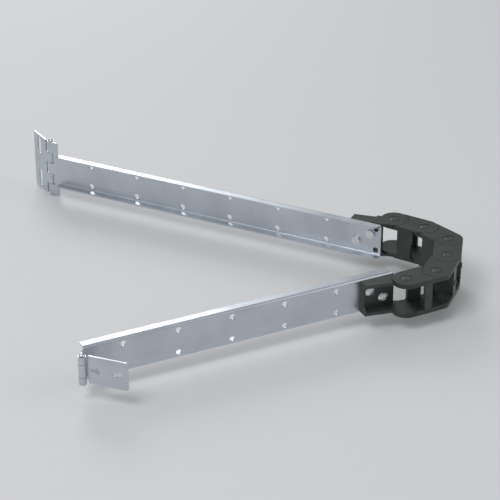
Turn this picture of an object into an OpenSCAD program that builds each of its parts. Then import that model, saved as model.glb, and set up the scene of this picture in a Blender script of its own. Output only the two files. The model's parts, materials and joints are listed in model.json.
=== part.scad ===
// Server cable management arm.
// Two folded steel channels carry the cables. A short plastic energy chain,
// lying on its side, joins their far ends. A hinged leaf at the near end of
// each channel bolts one arm to the rack and the other to the server.
// The rear leaf stands in the YZ plane with the middle of its slots at the origin.
// The chain is counted from the rear arm: pivot 1 is on the rear bracket and
// pivot 6 is on the front bracket.

/* [Steel channels] */
// Thickness of every steel sheet
sheet_t = 1.5; // [1.2:0.1:1.6]
// Height of both channels over their flanges
channel_h = 33; // [31.5:0.5:35]
// Depth of the flanges from the outer face of the web
flange_d = 9; // [6:0.5:12]
// Outer radius of the folded corners
fold_r = 2.5; // [1.9:0.1:3.5]
// Radius of the free corners of the flanges
flange_corner_r = 5; // [2:0.5:5.5]
// Spacing of the cable tie holes along an arm
hole_pitch = 50; // [47:0.5:53]
// Diameter of a cable tie hole
hole_d = 5.2; // [4:0.2:6]
// Height between the two rows of cable tie holes
row_gap = 21.4; // [19:0.2:23]
// Pairs of holes in the rear arm
rear_pairs = 7; // [6:1:8]
// Pairs of holes in the front arm
front_pairs = 6; // [5:1:7]
// Web left beyond the last pair of holes
end_web = 5; // [4.5:0.5:8]
// Web left before the first pair of holes
start_web = 35.5; // [32:0.5:42]

/* [Hinges] */
// Radius of the hinge pins
pin_r = 1.8; // [1.4:0.1:2.2]
// Gap between one knuckle and the next
knuckle_gap = 0.3; // [0.2:0.05:0.5]
// Height of the hinge on the rack side
rear_hinge_h = 57.4; // [52:0.2:62]
// Width of the rack leaf from the pin's axis
rear_leaf_w = 29.6; // [27:0.2:34]
// Height of the hinge on the server side
front_hinge_h = 26.8; // [25:0.2:28]
// Height of the middle knuckle on the server side
front_mid_h = 12.4; // [9:0.2:15]
// Width of the server leaf from the pin's axis
front_leaf_w = 39.9; // [38:0.2:46]
// How far the hinges sit below the middle of the channels
hinge_drop = 0.8; // [0:0.1:1]

/* [Mounting slots] */
// Width of the rack slots
slot_w = 6.5; // [5.2:0.1:7]
// Length of the rack slots from end to end
slot_l = 17.5; // [12:0.5:18]
// Metal left between a rack slot and the end of its leaf
slot_edge = 2.45; // [1.6:0.05:3.5]
// Distance of the rack slots from the pin's axis
slot_from_pin = 18.8; // [16:0.2:21]
// Diameter of the round end of a keyhole
key_d = 5.2; // [4.6:0.1:6]
// Width of the narrow end of a keyhole
key_slot_w = 2.6; // [2:0.1:3]
// Distance between the two keyholes
key_gap = 20.4; // [18:0.2:22]

/* [Chain] */
// Distance from one chain pivot to the next
chain_pitch = 30.8; // [29.8:0.1:33]
// How far the chain's outer lugs stand above the channels
chain_proud = 0.1; // [0:0.1:1]
// Radius of the round lugs
lug_r = 12.6; // [12:0.1:12.8]
// Thickness of one lug
lug_t = 2.1; // [1.8:0.1:2.4]
// Radius of the snap pivots
boss_r = 4.2; // [3.6:0.1:4.6]
// Largest fold that the stop dogs allow at one pivot
stop_angle = 50; // [49.5:0.5:52]
// Width of the moulded crossbars along a link
fixed_bar_w = 14; // [10:0.5:14.5]
// Width of the snap-in crossbars along a link
snap_bar_w = 7.5; // [6:0.5:10]

/* [Pose at rest] */
// Direction of the rear arm, turned about Z from the X axis
rear_yaw = -57.9; // [-89:0.1:60]
// Fold at pivot 1
fold_1 = 4.8; // [0:0.1:17]
// Fold at pivot 2
fold_2 = 18.1; // [0:0.1:31]
// Fold at pivot 3
fold_3 = 49.4; // [0:0.1:49.4]
// Fold at pivot 4
fold_4 = 13.3; // [0:0.1:26]
// Fold at pivot 5
fold_5 = 41; // [0:0.1:48]
// Fold at pivot 6
fold_6 = 1.5; // [0:0.1:12]
// Turn of the server leaf back from the front arm
front_leaf_turn = 46.4; // [7:0.1:176]

/* [Hidden] */
$fn = 72;

// Fits
pin_fit = 0.07;      // pin to knuckle, on the radius
run_fit = 0.08;      // snap pivot to lug hole, on the radius
lug_play = 0.4;      // lug edge to the shoulder round it
lap_gap = 0.2;       // between lapped lugs
axial_play = 0.1;    // pin head to knuckle
snap_fit = 0.1;      // crossbar tongue in its pocket

// Hinge knuckles are rolled from the sheet round the pin
knuckle_bore = pin_r + pin_fit;
knuckle_r = knuckle_bore + sheet_t;
notch_reach = knuckle_r + 1.2;     // edge of the notches, from the pin's axis
roll_slit = 0.3;                   // where the rolled end meets the sheet again
slot_gap = rear_hinge_h - slot_l - 2 * slot_edge;
head_r = pin_r * 1.5;
head_h = pin_r * 1.1;
rear_knuckles = 5;
rear_axis_s = start_web + 11.1;    // pin to first hole, rear arm
front_axis_s = start_web + 4.1;    // pin to first hole, front arm
front_axis_y = 6.4;                // front pin, out from the web
leaf_corner_r = 1.2;
notch_w = 2;                       // bend relief between flange and hinge tab
key_l = 8.75;                      // keyhole from end to end
key_first = 10.3;                  // first keyhole's middle, from the pin's axis

// Chain side plates are two layers: the inner lug and the outer lug overlap
chain_top = channel_h / 2 + chain_proud;
outer_z = chain_top - lug_t;       // underside of the outer lug
inner_z = outer_z - lap_gap - lug_t;  // inner face of the side plate
dog_h = 1.2;                       // stop dog, above the inner lug
dog_in = boss_r + 3;
dog_out = dog_in + 2.6;
dog_span = 14;                     // degrees that the dog takes up
dog_play = 1;                      // degrees of slack at each end of the groove
bar_t = 3;
bar_shift = 1;                     // moulded crossbar, past the middle of the link
tongue_w = 5;
tongue_h = 1.6;
boss_sink = 0.3;                   // snap pivot's end below the lug's face

// Brackets, measured from the end of a channel and out from its web
pivot_x = 6.2;
pivot_y = 15;
bracket_back = 31.7;
bracket_front = 0.4;
bracket_t = 3;
bracket_h = 2 * inner_z + 2 * bracket_t;
wall_d = 10.4;                     // depth of the top and bottom walls at their far end
end_wall_t = 1.9;
end_wall_d = 6;                    // depth of the low end wall between its gussets
pad_back = 10.4;                   // start of the thick pad round an outer lug
screw_at = [[-24.2, -4.7], [-10.3, 4.7]];
screw_r = 2.5;
screw_hole_r = 2.65;
screw_head_r = 5.2;
screw_head_h = 2.8;
nut_r = 4;
nut_h = 2.2;

// Plan: every arm and link is placed from the folds
folds = [fold_1, fold_2, fold_3, fold_4, fold_5, fold_6];
function polar(a) = [cos(a), sin(a)];
function turn(v, a) = [v[0] * cos(a) - v[1] * sin(a), v[0] * sin(a) + v[1] * cos(a)];
function heading(k) = k == 0 ? rear_yaw : heading(k - 1) - folds[k - 1];
function pivot(k) = k == 1
  ? rear_origin + turn([rear_end + pivot_x, pivot_y], rear_yaw)
  : pivot(k - 1) + chain_pitch * polar(heading(k - 1));

rear_pin = [knuckle_r, -slot_from_pin];
rear_end = (rear_pairs - 1) * hole_pitch + end_web;
front_end = (front_pairs - 1) * hole_pitch + end_web;
// First hole of an arm, on the outer face of its web
rear_origin = rear_pin + turn([rear_axis_s, sheet_t - knuckle_r], rear_yaw);
front_yaw = heading(6) + 180;
front_origin = pivot(6) - turn([front_end + pivot_x, -pivot_y], front_yaw);
front_pin = front_origin + turn([-front_axis_s, -front_axis_y], front_yaw);

// Knuckle cells from bottom to top, as [bottom, top]
rear_cells = [for (i = [0:rear_knuckles - 1])
  [-rear_hinge_h / 2 + i * rear_hinge_h / rear_knuckles,
   -rear_hinge_h / 2 + (i + 1) * rear_hinge_h / rear_knuckles]];
rear_arm_cells = [for (i = [0:2:rear_knuckles - 1]) rear_cells[i]];
rear_leaf_cells = [for (i = [1:2:rear_knuckles - 2]) rear_cells[i]];
front_arm_cells = [[-front_hinge_h / 2, -front_mid_h / 2], [front_mid_h / 2, front_hinge_h / 2]];
front_leaf_cells = [[-front_mid_h / 2, front_mid_h / 2]];

// Frames. An arm's frame has X along the web from the first hole towards the
// chain and Y out of the web's outer face. A link's frame has X along its travel.
module at_rear_arm()
  translate([rear_origin[0], rear_origin[1], hinge_drop]) rotate(rear_yaw) children();
module at_front_arm()
  translate([front_origin[0], front_origin[1], hinge_drop]) rotate(front_yaw)
    mirror([0, 1, 0]) children();
module at_link(k)
  translate([pivot(k)[0], pivot(k)[1], hinge_drop]) rotate(heading(k)) children();
module both_sides() {
  children();
  mirror([0, 0, 1]) children();
}

// Outside corner to be cut away, for a corner of radius r at the origin
module corner_bite(r)
  translate([-r, -r]) difference() {
    square(r + 1);
    circle(r);
  }

// Rectangle from x = -d to 0 with both corners at x = 0 rounded
module round_back(d, h, r) {
  translate([-d, -h / 2]) square([d - r, h]);
  translate([-d, r - h / 2]) square([d, h - 2 * r]);
  for (s = [-1, 1]) translate([-r, s * (h / 2 - r)]) circle(r);
}

// Upright hole along Y with round ends, through material from y = 0 to y = t
module slot_y(w, l, t) {
  translate([-w / 2, -1, (w - l) / 2]) cube([w, t + 2, l - w]);
  for (s = [-1, 1]) translate([0, -1, s * (l - w) / 2]) rotate([-90, 0, 0]) cylinder(r = w / 2, h = t + 2);
}
module hole_y(r, t)
  translate([0, -1, 0]) rotate([-90, 0, 0]) cylinder(r = r, h = t + 2);

// Hinge parts, with the pin's axis at the origin and the sheet tangent on +Y
module knuckle(cell)
  translate([0, 0, cell[0] + knuckle_gap / 2]) difference() {
    cylinder(r = knuckle_r, h = cell[1] - cell[0] - knuckle_gap);
    translate([0, 0, -1]) cylinder(r = knuckle_bore, h = cell[1] - cell[0] + 2);
    translate([0.5, knuckle_bore - roll_slit, -1])
      cube([knuckle_r, roll_slit, cell[1] - cell[0] + 2]);
  }
module rolled_leaf(w, h, own, others) {
  difference() {
    translate([0, knuckle_bore, -h / 2]) cube([w, sheet_t, h]);
    translate([-1, 0, 0]) for (c = others) translate([0, 0, c[0] - knuckle_gap / 2])
      cube([notch_reach + 1, 2 * knuckle_r, c[1] - c[0] + knuckle_gap]);
    for (s = [-1, 1]) translate([w, 2 * knuckle_r, s * h / 2]) rotate([90, 0, 0])
      linear_extrude(2 * knuckle_r) scale([1, s]) corner_bite(leaf_corner_r);
    translate([-1, 0, h / 2 - knuckle_gap / 2]) cube([w + 2, 2 * knuckle_r, 1]);
    translate([-1, 0, knuckle_gap / 2 - h / 2 - 1]) cube([w + 2, 2 * knuckle_r, 1]);
  }
  for (c = own) knuckle(c);
}
module hinge_pin(h) {
  top = h / 2 + axial_play;
  translate([0, 0, -top - 0.4]) cylinder(r = pin_r, h = 2 * top + 0.5);
  dome_r = (head_r * head_r + head_h * head_h) / (2 * head_h);
  translate([0, 0, top]) intersection() {
    translate([0, 0, head_h - dome_r]) sphere(dome_r);
    cylinder(r = head_r, h = head_h);
  }
  translate([0, 0, -top - 0.8]) cylinder(r = pin_r + 0.5, h = 0.8);
}

// Folded channel from x = -start_web to x1, with its web's outer face on y = 0
module channel(x1, pairs) {
  difference() {
    translate([-start_web, 0, 0]) rotate([90, 0, 90]) linear_extrude(x1 + start_web) difference() {
      round_back(flange_d, channel_h, fold_r);
      translate([-sheet_t, 0]) round_back(flange_d, channel_h - 2 * sheet_t, fold_r - sheet_t);
    }
    translate([x1, -flange_d, -channel_h]) linear_extrude(2 * channel_h)
      scale([1, -1]) corner_bite(flange_corner_r);
    for (i = [0:pairs - 1], s = [-1, 1]) translate([i * hole_pitch, -sheet_t, s * row_gap / 2])
      hole_y(hole_d / 2, sheet_t);
  }
}
module web_screw_holes(x1)
  for (p = screw_at) translate([x1 + p[0], -sheet_t, p[1]]) hole_y(screw_hole_r, sheet_t);

// Bracket outline seen from above, from the channel's end
module bracket_outline()
  polygon([[-bracket_back, 0], [-bracket_back, wall_d], [pivot_x - lug_r, pivot_y],
    [pivot_x, pivot_y], [pivot_x, pivot_y - lug_r], [bracket_front, 0]]);
// Floor of the bracket and its low end wall, which rises in gussets to the other walls
module bracket_tray() {
  translate([-bracket_back, 0, -bracket_h / 2])
    cube([bracket_back + bracket_front, bracket_t, bracket_h]);
  gusset = wall_d - end_wall_d;
  translate([-bracket_back, 0, 0]) rotate([90, 0, 90]) linear_extrude(end_wall_t)
    polygon([[0, -bracket_h / 2], [wall_d, -bracket_h / 2], [wall_d, -inner_z],
      [end_wall_d, gusset - inner_z], [end_wall_d, inner_z - gusset],
      [wall_d, inner_z], [wall_d, bracket_h / 2], [0, bracket_h / 2]]);
}
module bracket_screw_holes()
  for (p = screw_at) translate([p[0], 0, p[1]]) hole_y(screw_hole_r, bracket_t);

// Chain lugs, with the pivot at the origin and X along the travel
module turning_room() {
  r = lug_r + lug_play;
  circle(r);
  for (a = [0, stop_angle]) rotate(180 + a) translate([0, -r]) square([3 * lug_r, 2 * r]);
}
// Snap pivot and stop dog that stand on an inner lug
module inner_lug_top() {
  translate([0, 0, inner_z]) cylinder(r = boss_r, h = chain_top - inner_z - boss_sink);
  rotate(180 - dog_span / 2) rotate_extrude(angle = dog_span)
    translate([dog_in, inner_z + lug_t / 2]) square([dog_out - dog_in, lug_t / 2 + dog_h]);
}
// Hole, its ring and the stop dog's groove, cut from an outer lug
module outer_lug_cuts() {
  translate([0, 0, outer_z - 1]) cylinder(r = boss_r + run_fit, h = lug_t + 2);
  translate([0, 0, chain_top - 0.4]) cylinder(r = boss_r + 1, h = 1);
  rotate(180 - stop_angle - dog_span / 2 - dog_play)
    rotate_extrude(angle = stop_angle + dog_span + 2 * dog_play)
      translate([dog_in - 0.2, outer_z - 1])
        square([dog_out - dog_in + 0.4, 1 + dog_h + lap_gap / 2]);
}

// Moulded chain link: two side plates and the crossbar on the inside of the fold
module plate_outline() {
  circle(lug_r);
  translate([chain_pitch, 0]) circle(lug_r);
  translate([0, -lug_r]) square([chain_pitch, 2 * lug_r]);
}
module side_plate() {
  difference() {
    union() {
      translate([0, 0, inner_z]) linear_extrude(lug_t) difference() {
        plate_outline();
        translate([chain_pitch, 0]) mirror([1, 0]) turning_room();
      }
      translate([0, 0, outer_z]) linear_extrude(lug_t) difference() {
        plate_outline();
        turning_room();
      }
      translate([0, 0, inner_z]) linear_extrude(chain_top - inner_z) difference() {
        plate_outline();
        turning_room();
        translate([chain_pitch, 0]) mirror([1, 0]) turning_room();
      }
    }
    translate([chain_pitch, 0, 0]) outer_lug_cuts();
    translate([chain_pitch / 2 - tongue_w / 2 - snap_fit, lug_r - bar_t + 0.3, inner_z - 1])
      cube([tongue_w + 2 * snap_fit, bar_t + 1, tongue_h + 1 + snap_fit]);
  }
  inner_lug_top();
}
module chain_link() {
  both_sides() side_plate();
  difference() {
    translate([chain_pitch / 2 + bar_shift - fixed_bar_w / 2, -lug_r, -inner_z - 0.4])
      cube([fixed_bar_w, bar_t, 2 * inner_z + 0.8]);
    both_sides() translate([chain_pitch, 0, inner_z - 0.3]) linear_extrude(2)
      mirror([1, 0]) turning_room();
  }
}
// Crossbar that snaps between the side plates on the outside of the fold
module chain_crossbar()
  translate([chain_pitch / 2, 0, 0]) {
    translate([-snap_bar_w / 2, lug_r - bar_t, snap_fit - inner_z])
      cube([snap_bar_w, bar_t, 2 * (inner_z - snap_fit)]);
    translate([-tongue_w / 2, lug_r - bar_t + 0.3 + snap_fit, -inner_z - tongue_h])
      cube([tongue_w, bar_t - 0.3 - snap_fit, 2 * (inner_z + tongue_h)]);
    translate([-snap_bar_w / 4, lug_r - 1, -3.2]) cube([snap_bar_w / 2, 1.9, 3.5]);
  }

// Button head screw with a hexagon socket, and the round clinch nut behind the web
module bracket_screw() {
  dome_h = screw_head_h - 0.6;
  dome_r = (screw_head_r * screw_head_r + dome_h * dome_h) / (2 * dome_h);
  rotate([-90, 0, 0]) difference() {
    union() {
      translate([0, 0, -sheet_t - bracket_t - nut_h]) cylinder(r = screw_r, h = sheet_t + bracket_t + nut_h + 1);
      intersection() {
        translate([0, 0, screw_head_h - dome_r]) sphere(dome_r);
        cylinder(r = screw_head_r, h = screw_head_h);
      }
    }
    translate([0, 0, screw_head_h - 1.6]) cylinder(r = 1.73, h = 2, $fn = 6);
  }
}
module clinch_nut()
  rotate([90, 0, 0]) difference() {
    cylinder(r = nut_r, h = nut_h);
    translate([0, 0, -1]) cylinder(r = screw_r + 0.05, h = nut_h + 2);
  }

// Sub-parts
module rear_mount_leaf()
  color([0.72, 0.76, 0.80]) translate([rear_pin[0], rear_pin[1], 0]) rotate(90) difference() {
    rolled_leaf(rear_leaf_w, rear_hinge_h, rear_leaf_cells, rear_arm_cells);
    for (s = [-1, 1]) translate([slot_from_pin, knuckle_bore, s * slot_gap / 2])
      slot_y(slot_w, slot_l, sheet_t);
  }
module rear_hinge_pin()
  color([0.80, 0.82, 0.84]) translate([rear_pin[0], rear_pin[1], 0]) hinge_pin(rear_hinge_h);
module rear_arm_channel()
  color([0.66, 0.70, 0.75]) at_rear_arm() {
    difference() {
      channel(rear_end, rear_pairs);
      web_screw_holes(rear_end);
    }
    // Neck between the bend reliefs, and the flat tab that runs to the knuckles
    neck_h = channel_h - 2 * fold_r;
    translate([-start_web - notch_w - 1, -sheet_t, -neck_h / 2]) cube([notch_w + 2, sheet_t, neck_h]);
    translate([-rear_axis_s, knuckle_r - sheet_t, -hinge_drop]) mirror([0, 1, 0])
      rolled_leaf(rear_axis_s - start_web - notch_w, rear_hinge_h, rear_arm_cells, rear_leaf_cells);
  }
module rear_chain_bracket()
  color([0.20, 0.23, 0.21]) at_rear_arm() translate([rear_end, 0, 0]) difference() {
    union() {
      bracket_tray();
      both_sides() {
        translate([0, 0, inner_z]) linear_extrude(bracket_t) difference() {
          bracket_outline();
          translate([pivot_x, pivot_y]) mirror([1, 0]) turning_room();
        }
        // Raised pad that carries the outer lug
        translate([0, 0, outer_z]) linear_extrude(lug_t) {
          translate([pivot_x, pivot_y]) circle(lug_r);
          intersection() {
            bracket_outline();
            translate([-pad_back, 0]) square([pad_back + pivot_x, 2 * pivot_y]);
          }
        }
      }
    }
    both_sides() translate([pivot_x, pivot_y, 0]) outer_lug_cuts();
    bracket_screw_holes();
  }
module front_chain_bracket()
  color([0.20, 0.23, 0.21]) at_front_arm() translate([front_end, 0, 0]) {
    difference() {
      union() {
        bracket_tray();
        both_sides() {
          translate([0, 0, inner_z]) linear_extrude(bracket_t) difference() {
            bracket_outline();
            translate([pivot_x, pivot_y]) mirror([1, 0]) turning_room();
          }
          translate([0, 0, inner_z]) linear_extrude(lug_t) {
            translate([pivot_x, pivot_y]) circle(lug_r);
            bracket_outline();
          }
        }
      }
      mirror([0, 0, 1]) bracket_screw_holes();
    }
    both_sides() translate([pivot_x, pivot_y, 0]) mirror([1, 0, 0]) inner_lug_top();
  }
module front_arm_channel()
  color([0.66, 0.70, 0.75]) at_front_arm() {
    difference() {
      channel(front_end, front_pairs);
      mirror([0, 0, 1]) web_screw_holes(front_end);
    }
    // The tab jogs outwards to its knuckles, clear of the server leaf's own
    jog_y = front_axis_y - knuckle_bore;
    jog_x = front_axis_s - 0.7;
    jog_slip = sheet_t * 0.54;
    translate([0, 0, -hinge_drop]) difference() {
      translate([0, 0, knuckle_gap / 2 - front_hinge_h / 2]) linear_extrude(front_hinge_h - knuckle_gap)
        polygon([[1 - start_web, 0], [-start_web - 0.4, 0], [-jog_x, jog_y], [-front_axis_s, jog_y],
          [-jog_x - jog_slip, jog_y - sheet_t], [-start_web - 0.4 - jog_slip, -sheet_t],
          [1 - start_web, -sheet_t]]);
      for (c = front_leaf_cells) translate([-front_axis_s, front_axis_y, c[0] - knuckle_gap / 2])
        cylinder(r = notch_reach, h = c[1] - c[0] + knuckle_gap);
      for (c = front_arm_cells) translate([-front_axis_s, front_axis_y, c[0] - 1])
        cylinder(r = knuckle_bore, h = c[1] - c[0] + 2);
    }
    translate([-front_axis_s, front_axis_y, -hinge_drop]) mirror([0, 1, 0])
      for (c = front_arm_cells) knuckle(c);
  }
module front_hinge_pin()
  color([0.80, 0.82, 0.84]) translate([front_pin[0], front_pin[1], 0]) hinge_pin(front_hinge_h);
// Keyhole along X: the round end towards the free edge, the slot towards the pin
module keyhole()
  translate([0, knuckle_bore, 0]) {
    translate([key_l / 2 - key_d / 2, 0, 0]) hole_y(key_d / 2, sheet_t);
    translate([key_slot_w / 2 - key_l / 2, 0, 0]) hole_y(key_slot_w / 2, sheet_t);
    translate([key_slot_w / 2 - key_l / 2, -1, -key_slot_w / 2])
      cube([key_l - (key_d + key_slot_w) / 2, sheet_t + 2, key_slot_w]);
  }
module front_mount_leaf()
  color([0.72, 0.76, 0.80]) translate([front_pin[0], front_pin[1], 0])
    rotate(front_yaw - front_leaf_turn) difference() {
      rolled_leaf(front_leaf_w, front_hinge_h, front_leaf_cells, front_arm_cells);
      for (i = [0, 1]) translate([key_first + i * key_gap, 0, 0]) keyhole();
    }
module screw_near(x1, s)
  color([0.84, 0.85, 0.86]) translate([x1 + screw_at[1][0], bracket_t, s * screw_at[1][1]]) bracket_screw();
module screw_far(x1, s)
  color([0.84, 0.85, 0.86]) translate([x1 + screw_at[0][0], bracket_t, s * screw_at[0][1]]) bracket_screw();
module nut_near(x1, s)
  color([0.78, 0.80, 0.82]) translate([x1 + screw_at[1][0], -sheet_t, s * screw_at[1][1]]) clinch_nut();
module nut_far(x1, s)
  color([0.78, 0.80, 0.82]) translate([x1 + screw_at[0][0], -sheet_t, s * screw_at[0][1]]) clinch_nut();
module link_at(k)
  color([0.17, 0.20, 0.18]) at_link(k) chain_link();
module crossbar_at(k)
  color([0.24, 0.27, 0.25]) at_link(k) chain_crossbar();

rear_mount_leaf();
rear_hinge_pin();
rear_arm_channel();
rear_chain_bracket();
at_rear_arm() screw_near(rear_end, 1);  // rear_screw_near
at_rear_arm() screw_far(rear_end, 1);  // rear_screw_far
at_rear_arm() nut_near(rear_end, 1);  // rear_nut_near
at_rear_arm() nut_far(rear_end, 1);  // rear_nut_far
link_at(1);  // chain_link_1
link_at(2);  // chain_link_2
link_at(3);  // chain_link_3
link_at(4);  // chain_link_4
link_at(5);  // chain_link_5
crossbar_at(1);  // chain_crossbar_1
crossbar_at(2);  // chain_crossbar_2
crossbar_at(3);  // chain_crossbar_3
crossbar_at(4);  // chain_crossbar_4
crossbar_at(5);  // chain_crossbar_5
front_chain_bracket();
at_front_arm() screw_near(front_end, -1);  // front_screw_near
at_front_arm() screw_far(front_end, -1);  // front_screw_far
at_front_arm() nut_near(front_end, -1);  // front_nut_near
at_front_arm() nut_far(front_end, -1);  // front_nut_far
front_arm_channel();
front_hinge_pin();
front_mount_leaf();
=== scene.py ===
# %% [markdown]
# # Server cable management arm
# The arm has two folded steel channels, a hinged leaf at the near end of each,
# and a short plastic energy chain between their far ends. The frame already
# holds every solid at its real size, so this lesson adds finishes, the softened
# edges that catch the light, the buttons of the chain's pivots, and a studio.

# %% Load the frame
import bpy
import bmesh
import json
import math
import numpy as np
from mathutils import Matrix, Vector


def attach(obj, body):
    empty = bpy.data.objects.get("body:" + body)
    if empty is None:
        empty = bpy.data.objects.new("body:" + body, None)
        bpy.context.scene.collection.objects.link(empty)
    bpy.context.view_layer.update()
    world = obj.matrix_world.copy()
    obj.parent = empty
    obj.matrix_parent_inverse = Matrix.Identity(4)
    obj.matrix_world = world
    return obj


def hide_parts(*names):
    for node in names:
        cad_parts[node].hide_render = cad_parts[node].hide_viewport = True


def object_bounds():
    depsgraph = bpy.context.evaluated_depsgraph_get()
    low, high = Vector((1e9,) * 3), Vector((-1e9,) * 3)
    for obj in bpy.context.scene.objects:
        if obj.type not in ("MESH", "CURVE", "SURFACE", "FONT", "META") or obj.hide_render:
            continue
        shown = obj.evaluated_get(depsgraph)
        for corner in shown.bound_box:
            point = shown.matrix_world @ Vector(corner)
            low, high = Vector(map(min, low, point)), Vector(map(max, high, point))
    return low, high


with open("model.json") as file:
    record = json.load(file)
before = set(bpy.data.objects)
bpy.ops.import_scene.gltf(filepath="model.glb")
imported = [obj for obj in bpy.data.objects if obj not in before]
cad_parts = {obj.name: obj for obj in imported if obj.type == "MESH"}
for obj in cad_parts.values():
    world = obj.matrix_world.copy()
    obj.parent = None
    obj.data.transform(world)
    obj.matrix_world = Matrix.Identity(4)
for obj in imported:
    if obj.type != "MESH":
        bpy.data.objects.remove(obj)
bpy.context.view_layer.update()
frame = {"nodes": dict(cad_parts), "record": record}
nodes = frame["nodes"]
behaviour = frame["record"]["behaviour"]
body_of_node = {node: body for body, names in behaviour["bodies"].items() for node in names}
MM = 0.001

# %% [markdown]
# ## A small kit for finishes
# A finish is a Principled shader with a few texture nodes. Each texture reads
# Object coordinates, so its grain keeps its size on every piece and stays put
# when a hinge turns.

# %% Finish kit
def new_finish(name, rgb, rough, metal=0.0):
    """A material with one Principled shader. Returns it with its node tree and shader."""
    mat = bpy.data.materials.new(name)
    mat.use_nodes = True
    tree = mat.node_tree
    shader = tree.nodes["Principled BSDF"]
    shader.inputs["Base Color"].default_value = (*rgb, 1)
    shader.inputs["Roughness"].default_value = rough
    shader.inputs["Metallic"].default_value = metal
    return mat, tree, shader


def add(tree, kind, **settings):
    """One node. A setting named like a socket sets the socket, any other the node itself."""
    node = tree.nodes.new(kind)
    for key, value in settings.items():
        if key in node.inputs:
            node.inputs[key].default_value = value
        else:
            setattr(node, key, value)
    return node


def grain(tree, scale, detail=3.0):
    """Noise on Object coordinates, as its value from 0 to 1."""
    place = add(tree, "ShaderNodeTexCoord")
    noise = add(tree, "ShaderNodeTexNoise", Scale=scale, Detail=detail, Roughness=0.55)
    tree.links.new(place.outputs["Object"], noise.inputs["Vector"])
    return noise.outputs["Fac"]


def spread(tree, value, low, high):
    """The value carried from the middle of its range onto low to high."""
    node = add(tree, "ShaderNodeMapRange")
    for key, number in zip(("From Min", "From Max", "To Min", "To Max"), (0.3, 0.7, low, high)):
        node.inputs[key].default_value = number
    tree.links.new(value, node.inputs["Value"])
    return node.outputs["Result"]


def tint(tree, value, *stops):
    """A colour ramp through (place, rgb) stops."""
    ramp = add(tree, "ShaderNodeValToRGB")
    while len(ramp.color_ramp.elements) < len(stops):
        ramp.color_ramp.elements.new(0.5)
    for element, (place, rgb) in zip(ramp.color_ramp.elements, stops):
        element.position, element.color = place, (*rgb, 1)
    tree.links.new(value, ramp.inputs["Fac"])
    return ramp.outputs["Color"]


def relief(tree, shader, height, depth):
    """A faint bump on the shader's normal, of a real depth in metres."""
    bump = add(tree, "ShaderNodeBump", Strength=0.5, Distance=depth)
    tree.links.new(height, bump.inputs["Height"])
    tree.links.new(bump.outputs["Normal"], shader.inputs["Normal"])

# %% [markdown]
# ## Zinc-plated sheet
# The channels and leaves are cold rolled sheet, plated after folding. Plating is
# a cool blue-grey, glossy under a thin haze. Three noises make it: soft clouds in
# its colour, a finer haze in its gloss, and a very low grain from the rollers.

# %% Zinc plate
def zinc_plate(name, rgb, rough):
    """Metal with clouds in its colour, a finer haze in its roughness and a very low grain."""
    mat, tree, shader = new_finish(name, rgb, rough, 1.0)
    clouds = grain(tree, 26, detail=2)
    dark, light = [c * 0.9 for c in rgb], [min(c * 1.07, 1) for c in rgb]
    colour = tint(tree, clouds, (0.3, dark), (0.52, rgb), (0.75, light))
    tree.links.new(colour, shader.inputs["Base Color"])
    haze = grain(tree, 60, detail=4)
    tree.links.new(spread(tree, haze, rough - 0.06, rough + 0.08), shader.inputs["Roughness"])
    relief(tree, shader, grain(tree, 900, detail=2), 0.00002)
    return mat


zinc = zinc_plate("zinc_plate", (0.60, 0.64, 0.69), 0.36)
pin_steel = zinc_plate("pin_steel", (0.74, 0.76, 0.78), 0.24)
screw_steel = zinc_plate("screw_steel", (0.78, 0.79, 0.80), 0.30)
print("metals:", zinc.name, pin_steel.name, screw_steel.name)

# %% [markdown]
# ## Moulded chain plastic
# The chain is nearly black with a green cast. Its skin is finely pitted, with a
# satin sheen that comes and goes. A dark base colour and a fairly low roughness
# keep it black on its flats and let only its edges shine.

# %% Chain plastic
def moulded(name, rgb, rough):
    """Satin plastic with a faint swirl in its colour and fine pits in its skin."""
    mat, tree, shader = new_finish(name, rgb, rough)
    shader.inputs["Specular IOR Level"].default_value = 0.55
    swirl = grain(tree, 45, detail=3)
    dark, light = [c * 0.8 for c in rgb], [c * 1.25 for c in rgb]
    tree.links.new(tint(tree, swirl, (0.3, dark), (0.7, light)), shader.inputs["Base Color"])
    sheen = spread(tree, grain(tree, 130), rough - 0.07, rough + 0.1)
    tree.links.new(sheen, shader.inputs["Roughness"])
    relief(tree, shader, grain(tree, 1400, detail=1), 0.00003)
    return mat


nylon = moulded("chain_nylon", (0.030, 0.038, 0.033), 0.40)
nylon_bar = moulded("crossbar_nylon", (0.045, 0.054, 0.048), 0.36)
print("plastics:", nylon.name, nylon_bar.name)

# %% [markdown]
# ## Softened edges
# A sheared sheet and a moulding both have edges with a small radius, and that
# radius is what catches the light. The frame's own solids keep sharp edges, so
# each sheet and moulding is a copy of its solid, welded, cleaned of its triangles
# and given a narrow bevel. Weighted normals keep the large webs flat beside it. The
# copy stands for the solid, which stays for the physics.

# %% Bevelled copies
SHARP = math.radians(32)      # edges above this angle are bevelled
FLAT = math.radians(0.6)      # triangles below this angle join into one face
WELD = 1e-6                   # metres


def welded(node):
    """A solid's mesh with its doubled corners joined and its flat triangles dissolved."""
    mesh = nodes[node].data.copy()
    form = bmesh.new()
    form.from_mesh(mesh)
    bmesh.ops.remove_doubles(form, verts=form.verts, dist=WELD)
    bmesh.ops.dissolve_limit(form, angle_limit=FLAT, verts=form.verts, edges=form.edges)
    form.to_mesh(mesh)
    form.free()
    return mesh


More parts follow.
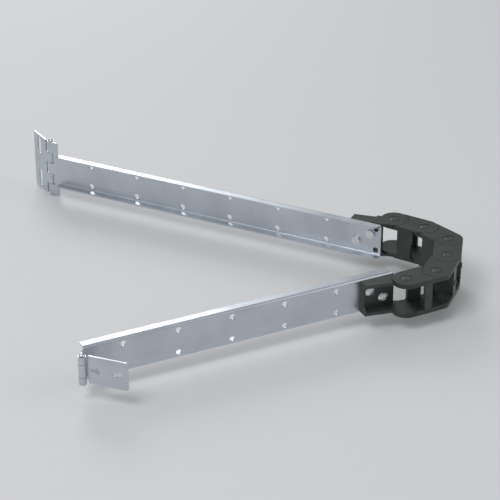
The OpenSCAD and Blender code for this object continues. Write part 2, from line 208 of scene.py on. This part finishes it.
def softened(node, mat, width):
    """A welded copy of a solid with its sharp edges bevelled by width mm."""
    mesh = welded(node)
    piece = bpy.data.objects.new(node + "_skin", mesh)
    bpy.context.scene.collection.objects.link(piece)
    mesh.materials.clear()
    mesh.materials.append(mat)
    mesh.shade_smooth()
    mesh.set_sharp_from_angle(angle=SHARP)
    edge = piece.modifiers.new("edge", "BEVEL")
    edge.width, edge.segments, edge.limit_method = width * MM, 2, "ANGLE"
    edge.angle_limit = SHARP
    edge.use_clamp_overlap = True
    flat = piece.modifiers.new("flat", "WEIGHTED_NORMAL")
    flat.keep_sharp, flat.weight = True, 100
    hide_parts(node)
    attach(piece, body_of_node[node])

# %% [markdown]
# ## Which piece wears what
# A word in a solid's name picks its finish, the record's slot and the width of
# its bevel in millimetres. Sheared sheet has a tighter edge than a moulding. Pins,
# screws and nuts are turned parts whose true curves show well as they are, so
# they only get a metal.

# %% Dress the solids
plan = {"channel": (zinc, "zinc_steel", 0.18), "leaf": (zinc, "zinc_steel", 0.18),
        "bracket": (nylon, "chain_plastic", 0.30), "link": (nylon, "chain_plastic", 0.30),
        "crossbar": (nylon_bar, "crossbar_plastic", 0.25)}
for name in nodes:
    for word, (mat, slot, width) in plan.items():
        if word in name:
            softened(name, mat, width)
            break
    else:
        mat = pin_steel if "pin" in name else screw_steel
        for place in nodes[name].material_slots:
            place.material = mat

# %% [markdown]
# ## Snap pivot buttons
# Each chain pivot ends in a button that was pressed through its lug. Its rim is
# a short cone, which led it into the hole and now catches a crescent of light.
# A profile of radius and depth, carried round the pivot's axis, makes the form.

# %% Turned buttons
AROUND = 48                   # points round a button


def turned(name, centre, top, side, profile, mat, body):
    """Surface of revolution about the pivot's axis.

    A point lies at the centre plus the profile's radius times (cos a, sin a), and at
    the lug's face less the profile's depth. The side is 1 above and -1 below.
    """
    radius, depth = np.array(profile).T * MM
    angle = np.linspace(0, 2 * np.pi, AROUND, endpoint=False) * side
    x = centre[0] + np.outer(radius, np.cos(angle))
    y = centre[1] + np.outer(radius, np.sin(angle))
    z = centre[2] + side * (top - np.repeat(depth[:, None], angle.size, axis=1))
    start = np.arange(AROUND)
    after = np.roll(start, -1)
    band = np.stack([start, start + AROUND, after + AROUND, after], 1)
    bands = (band + AROUND * np.arange(len(profile) - 1)[:, None, None]).reshape(-1, 4)
    caps = [start.tolist(), (start[::-1] + AROUND * (len(profile) - 1)).tolist()]
    points = np.stack([x, y, z], -1).reshape(-1, 3)
    mesh = bpy.data.meshes.new(name)
    mesh.from_pydata(points.tolist(), [], bands.tolist() + caps)
    mesh.materials.append(mat)
    piece = bpy.data.objects.new(name, mesh)
    bpy.context.scene.collection.objects.link(piece)
    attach(piece, body)

# %% Place the buttons
button = [(2.5, 0.04), (3.1, 0.06), (3.95, 0.28), (3.95, 0.5)]    # radius and depth, mm
pivots = [joint for joint in behaviour["joints"] if "pivot" in joint["name"]]
link_top = max(v.co.z for v in nodes["chain_link_1"].data.vertices)
for joint in pivots:
    top = link_top - joint["pos_m"][2]
    for side, word in ((1, "upper"), (-1, "lower")):
        turned(joint["name"] + "_button_" + word, joint["pos_m"], top, side, button, nylon_bar,
               joint["child"])
print(2 * len(pivots), "buttons, top at", round(link_top / MM, 2), "mm")

# %% [markdown]
# ## The studio
# A plain pale floor, three large soft lamps and a pale world. The key lamp stands
# near the camera, the fill lamp across from it, and the rim lamp behind the part.

# %% Floor
FLOOR_HALF = 6.0              # metres
FLOOR_GAP = 0.0002            # below the part's lowest point
corners = FLOOR_HALF * np.array([(-1, -1, 0), (1, -1, 0), (1, 1, 0), (-1, 1, 0)])
floor_mesh = bpy.data.meshes.new("floor")
floor_mesh.from_pydata(corners.tolist(), [], [(0, 1, 2, 3)])
floor_mesh.transform(Matrix.Translation((0, 0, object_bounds()[0].z - FLOOR_GAP)))
floor = bpy.data.objects.new("floor", floor_mesh)
bpy.context.scene.collection.objects.link(floor)
floor_mesh.materials.append(new_finish("floor_paint", (0.80, 0.80, 0.80), 0.7)[0])
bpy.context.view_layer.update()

# %% Lamps and world
def soft_lamp(name, place, aim, size, watts):
    """A square area lamp at a place, turned to face the aim."""
    lamp = bpy.data.lights.new(name, "AREA")
    lamp.size, lamp.energy = size, watts
    thing = bpy.data.objects.new(name, lamp)
    bpy.context.scene.collection.objects.link(thing)
    thing.location = place
    thing.rotation_euler = (Vector(aim) - Vector(place)).to_track_quat("-Z", "Y").to_euler()


middle = (0.04, -0.22, 0.0)
soft_lamp("key", (-0.9, -0.6, 1.5), middle, 0.8, 9)
soft_lamp("fill", (0.9, -1.2, 0.9), middle, 1.0, 3)
soft_lamp("rim", (0.5, 1.3, 1.0), middle, 0.8, 8)
world = bpy.data.worlds.new("studio")
bpy.context.scene.world = world
world.use_nodes = True
sky = world.node_tree.nodes["Background"]
sky.inputs["Color"].default_value = (0.86, 0.89, 0.93, 1)
sky.inputs["Strength"].default_value = 0.42
print("lamps:", len(bpy.data.lights))

# %% [markdown]
# ## The camera
# A long lens from well back keeps the perspective gentle. It looks down by 28
# degrees, from 32 degrees to the left of straight on.

# %% Camera
LOOK_DOWN, LOOK_ROUND = 28.244, -32.012
camera_data = bpy.data.cameras.new("camera")
camera_data.sensor_width, camera_data.lens = 36.0, 148.13
camera = bpy.data.objects.new("camera", camera_data)
bpy.context.scene.collection.objects.link(camera)
camera.location = (-0.7973, -1.6673, 0.8860)
camera.rotation_euler = (math.radians(90 - LOOK_DOWN), 0, math.radians(LOOK_ROUND))
camera_data.clip_start, camera_data.clip_end = 0.05, 50
bpy.context.scene.camera = camera
bpy.context.scene.view_settings.view_transform = "Standard"
